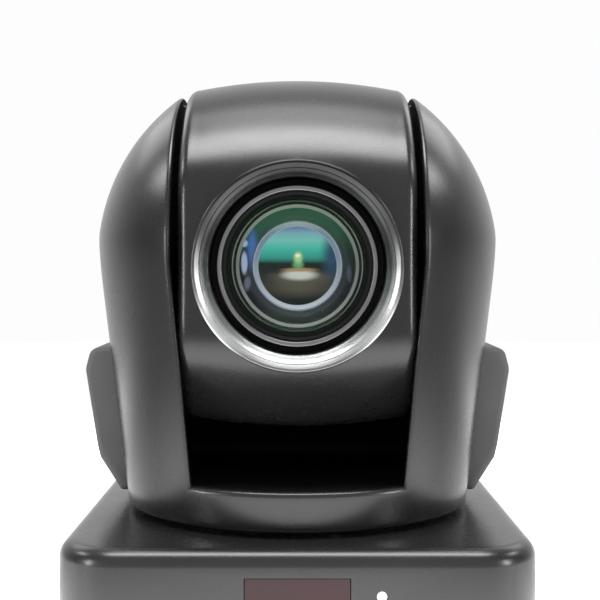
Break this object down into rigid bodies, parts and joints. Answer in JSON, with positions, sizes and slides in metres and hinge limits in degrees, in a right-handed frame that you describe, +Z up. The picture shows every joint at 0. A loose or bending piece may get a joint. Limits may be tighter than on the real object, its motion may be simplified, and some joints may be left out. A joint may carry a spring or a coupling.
{
  "type": "ptz camera",
  "caption": "Desk or ceiling video camera whose drum-shaped zoom lens head tilts between the arms of a domed yoke that pans on a low square base.",
  "frame": {"origin": "on the pan axis, at the underside of the rubber feet", "axes": "+Z up along the pan axis, the lens looks along -Y at rest, the tilt axis lies along X"},
  "size_m": [0.1452, 0.142, 0.1734],
  "materials": {
    "shell_black": "satin",
    "pod_grey": "matt",
    "inner_black": "matt",
    "bezel_silver": "satin",
    "plate_steel": "zinc plated",
    "turned_steel": "turned",
    "screw_steel": "blackened",
    "brass": "turned",
    "rubber": "matt",
    "board": "solder mask",
    "gear_white": "moulded acetal",
    "lens_glass": "coated",
    "lens_cell": "anodised",
    "window_red": "infrared window",
    "light_white": "diffuser",
    "socket_shell": "nickel plated"
  },
  "bodies": {
    "base": {"base_shell": "shell_black", "base_plate": "plate_steel", "rubber_feet": "rubber", "tripod_bush": "brass", "base_screws": "screw_steel", "connector_panel": "inner_black", "dc_socket": "inner_black", "hdmi_socket": "socket_shell", "usb_socket": "socket_shell", "lan_socket": "socket_shell", "control_socket": "inner_black", "audio_socket": "inner_black", "infrared_window": "window_red", "status_light": "light_white", "main_board": "board", "pan_spindle": "turned_steel", "pan_inner_races": "turned_steel", "pan_balls": "turned_steel", "spindle_nut": "brass", "pan_motor": "plate_steel", "pan_harness": "inner_black"},
    "selector": {"format_dial": "pod_grey"},
    "pan_pinion": {"pan_pinion": "brass"},
    "yoke": {"turntable_hub": "turned_steel", "pan_outer_races": "turned_steel", "pan_gear": "gear_white", "yoke_frame": "plate_steel", "frame_screws": "screw_steel", "yoke_shell": "shell_black", "yoke_rear_cover": "shell_black", "rear_cover_screws": "screw_steel", "arm_liner_left": "inner_black", "arm_liner_right": "inner_black", "slot_floor": "inner_black", "side_pod_left": "pod_grey", "side_pod_right": "pod_grey", "tilt_bearings": "turned_steel", "tilt_motor": "plate_steel", "tilt_motor_plate": "plate_steel", "tilt_belt": "rubber", "yoke_board": "board", "tilt_harness": "inner_black"},
    "motor_pulley": {"motor_pulley": "brass"},
    "head": {"head_shell": "shell_black", "head_rear_shell": "shell_black", "head_screws": "screw_steel", "head_frame": "plate_steel", "trunnion_left": "turned_steel", "trunnion_right": "turned_steel", "tilt_pulley": "lens_cell", "lens_bezel": "bezel_silver", "dust_seal": "rubber", "lens_barrel": "inner_black", "front_glass": "lens_glass", "glass_retainer": "inner_black", "zoom_block": "inner_black", "guide_rods": "turned_steel", "sensor_board": "board"},
    "zoom_group": {"zoom_group": "lens_cell"},
    "focus_group": {"focus_group": "lens_cell"}
  },
  "joints": [
    {"name": "pan", "type": "hinge", "parent": "base", "child": "yoke", "pos_m": [0, 0, 0.03], "axis": [0, 0, 1], "range_deg": [-170, 170]},
    {"name": "pan_motor_spin", "type": "hinge", "parent": "base", "child": "pan_pinion", "pos_m": [0.044, 0, 0.02], "axis": [0, 0, 1], "range_deg": [-800, 800]},
    {"name": "tilt", "type": "hinge", "parent": "yoke", "child": "head", "pos_m": [0, 0, 0.112], "axis": [-1, 0, 0], "range_deg": [-30, 90]},
    {"name": "tilt_motor_spin", "type": "hinge", "parent": "yoke", "child": "motor_pulley", "pos_m": [-0.05, 0.015, 0.064], "axis": [-1, 0, 0], "range_deg": [-110, 300]},
    {"name": "zoom_slide", "type": "slide", "parent": "head", "child": "zoom_group", "axis": [0, 1, 0], "range_m": [0, 0.015]},
    {"name": "focus_slide", "type": "slide", "parent": "head", "child": "focus_group", "axis": [0, 1, 0], "range_m": [0, 0.012]},
    {"name": "selector_turn", "type": "hinge", "parent": "base", "child": "selector", "pos_m": [0.046, 0.068, 0.0145], "axis": [0, 1, 0], "continuous": true}
  ],
  "couplings": [
    {"joint": "pan_motor_spin", "follows": "pan", "ratio": -4.5},
    {"joint": "tilt_motor_spin", "follows": "tilt", "ratio": 3.2}
  ]
}
